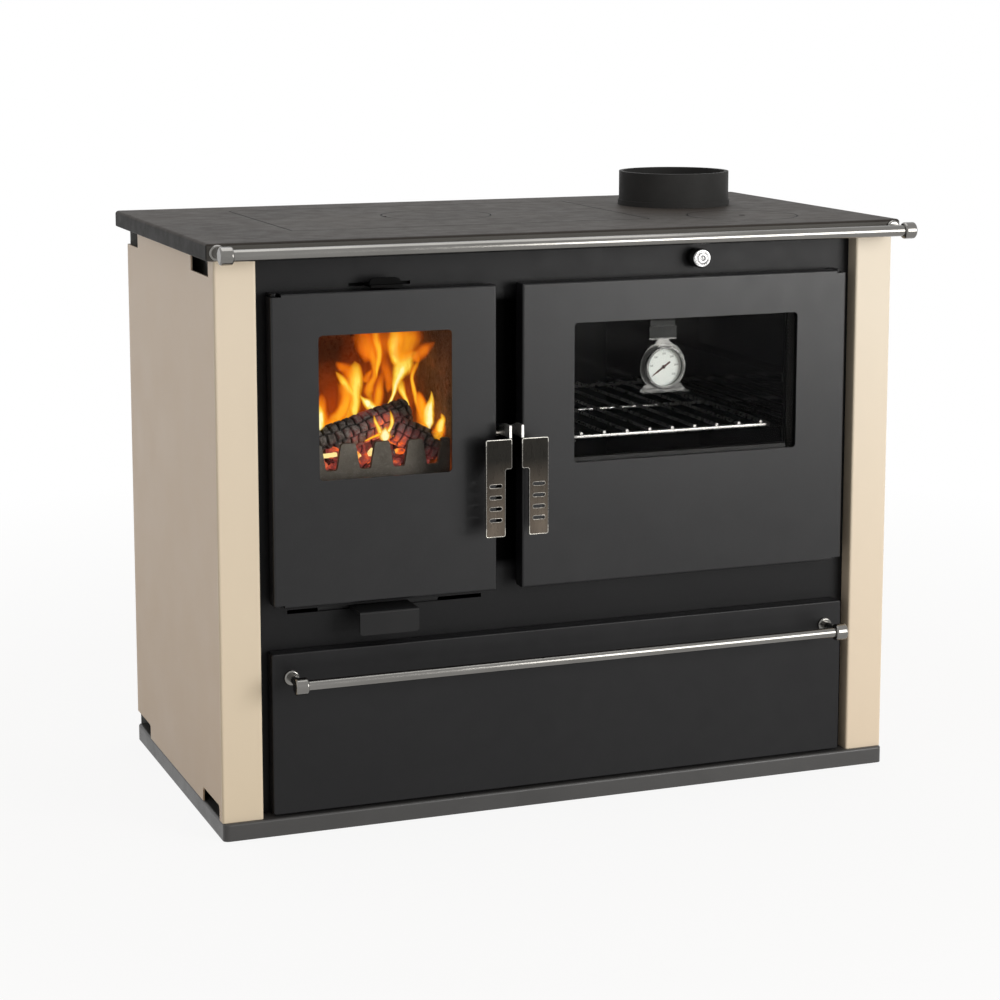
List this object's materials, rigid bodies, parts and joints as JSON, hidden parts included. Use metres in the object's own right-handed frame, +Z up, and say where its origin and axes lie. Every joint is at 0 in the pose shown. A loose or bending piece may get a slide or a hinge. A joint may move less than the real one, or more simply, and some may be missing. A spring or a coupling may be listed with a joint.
{
  "type": "wood cookstove",
  "caption": "Wood cookstove with enamelled sides, cast cooktop with lift-off lids, glazed firebox and oven doors, fuel drawer, air sliders and flue damper.",
  "frame": {"origin": "centre of the plinth's underside, on the floor", "axes": "+X to the right seen from the front, +Y to the rear, +Z up; doors face -Y"},
  "size_m": [0.914, 0.5401, 0.7658],
  "materials": {
    "enamel": "gloss enamel",
    "black_paint": "satin fine texture",
    "cooktop_iron": "ground, dark",
    "grey_iron": "matt",
    "stainless": "satin polish",
    "steel_sheet": "mill finish",
    "oven_enamel": "dark enamel",
    "air_tab_paint": "satin",
    "knob_finish": "polished",
    "stove_glass": "clear",
    "rope_seal": "woven",
    "fire_brick": "rough",
    "firewood": "charred",
    "dial_card": "matt",
    "pointer_paint": "matt"
  },
  "bodies": {
    "stove_body": {"ash_pan": "steel_sheet", "body_shell": "steel_sheet", "casing_floor": "steel_sheet", "cooktop": "cooktop_iron", "door_hinge_lugs": "black_paint", "drawer_runners": "steel_sheet", "facade": "black_paint", "fire_brick_left": "fire_brick", "fire_brick_rear": "fire_brick", "fire_brick_right": "fire_brick", "firebox_base": "grey_iron", "firebox_casing": "steel_sheet", "flue_collar": "grey_iron", "fuel_logs": "firewood", "grate": "grey_iron", "latch_keeper": "black_paint", "log_retainer": "grey_iron", "oven_box": "oven_enamel", "oven_feet": "steel_sheet", "oven_ledges": "oven_enamel", "oven_rack": "stainless", "plinth": "black_paint", "primary_air_guides": "steel_sheet", "rear_panel": "steel_sheet", "secondary_air_guides": "steel_sheet", "side_panel_left": "enamel", "side_panel_right": "enamel", "smoke_baffle": "steel_sheet", "thermometer_case": "stainless", "thermometer_dial": "dial_card", "thermometer_hook": "stainless", "thermometer_lens": "stove_glass", "top_rail_brackets": "stainless", "top_rail_tube": "stainless"},
    "firebox_door": {"firebox_door_shell": "black_paint", "firebox_door_frame": "steel_sheet", "firebox_glass": "stove_glass", "firebox_glass_clips": "steel_sheet", "firebox_door_gasket": "rope_seal", "firebox_latch_pivot": "stainless"},
    "firebox_door_handle": {"firebox_handle": "stainless"},
    "oven_door": {"oven_door_shell": "black_paint", "oven_door_frame": "steel_sheet", "oven_glass": "stove_glass", "oven_glass_clips": "steel_sheet", "oven_door_gasket": "rope_seal", "oven_latch_pivot": "stainless"},
    "oven_door_handle": {"oven_handle": "stainless"},
    "pointer": {"thermometer_pointer": "pointer_paint"},
    "drawer": {"drawer_front": "black_paint", "drawer_box": "steel_sheet", "drawer_rail_tube": "stainless", "drawer_rail_brackets": "stainless"},
    "primary_air": {"primary_air_slider": "air_tab_paint"},
    "secondary_air": {"secondary_air_slider": "air_tab_paint"},
    "flue_damper": {"damper_slide": "steel_sheet", "damper_knob": "knob_finish"},
    "lift_plate": {"centre_plate": "cooktop_iron"},
    "left_lid": {"left_ring_lid": "cooktop_iron"},
    "right_lid": {"right_ring_lid": "cooktop_iron"}
  },
  "joints": [
    {"name": "firebox_door_hinge", "type": "hinge", "parent": "stove_body", "child": "firebox_door", "pos_m": [-0.375, -0.2205, 0.4695], "axis": [0, 0, -1], "range_deg": [0, 100]},
    {"name": "firebox_handle_lift", "type": "hinge", "parent": "firebox_door", "child": "firebox_door_handle", "pos_m": [-0.0922, -0.22125, 0.4745], "axis": [-1, 0, 0], "range_deg": [0, 30]},
    {"name": "oven_door_hinge", "type": "hinge", "parent": "stove_body", "child": "oven_door", "pos_m": [0.3705, -0.2205, 0.4695], "axis": [0, 0, 1], "range_deg": [0, 100]},
    {"name": "oven_handle_lift", "type": "hinge", "parent": "oven_door", "child": "oven_door_handle", "pos_m": [-0.0764, -0.22125, 0.4745], "axis": [-1, 0, 0], "range_deg": [0, 30]},
    {"name": "pointer_turn", "type": "hinge", "parent": "stove_body", "child": "pointer", "pos_m": [0.14595, -0.1832, 0.5385], "axis": [0, 1, 0], "range_deg": [0, 250]},
    {"name": "drawer_slide", "type": "slide", "parent": "stove_body", "child": "drawer", "axis": [0, -1, 0], "range_m": [0, 0.33]},
    {"name": "primary_air_slide", "type": "slide", "parent": "stove_body", "child": "primary_air", "axis": [1, 0, 0], "range_m": [-0.035, 0.035]},
    {"name": "secondary_air_slide", "type": "slide", "parent": "stove_body", "child": "secondary_air", "axis": [1, 0, 0], "range_m": [-0.018, 0.018]},
    {"name": "flue_damper_slide", "type": "slide", "parent": "stove_body", "child": "flue_damper", "axis": [0, -1, 0], "range_m": [0, 0.07]},
    {"name": "centre_plate_lift", "type": "slide", "parent": "stove_body", "child": "lift_plate", "axis": [0, 0, 1], "range_m": [0, 0.12]},
    {"name": "left_lid_lift", "type": "slide", "parent": "lift_plate", "child": "left_lid", "axis": [0, 0, 1], "range_m": [0, 0.12]},
    {"name": "right_lid_lift", "type": "slide", "parent": "stove_body", "child": "right_lid", "axis": [0, 0, 1], "range_m": [0, 0.12]}
  ]
}
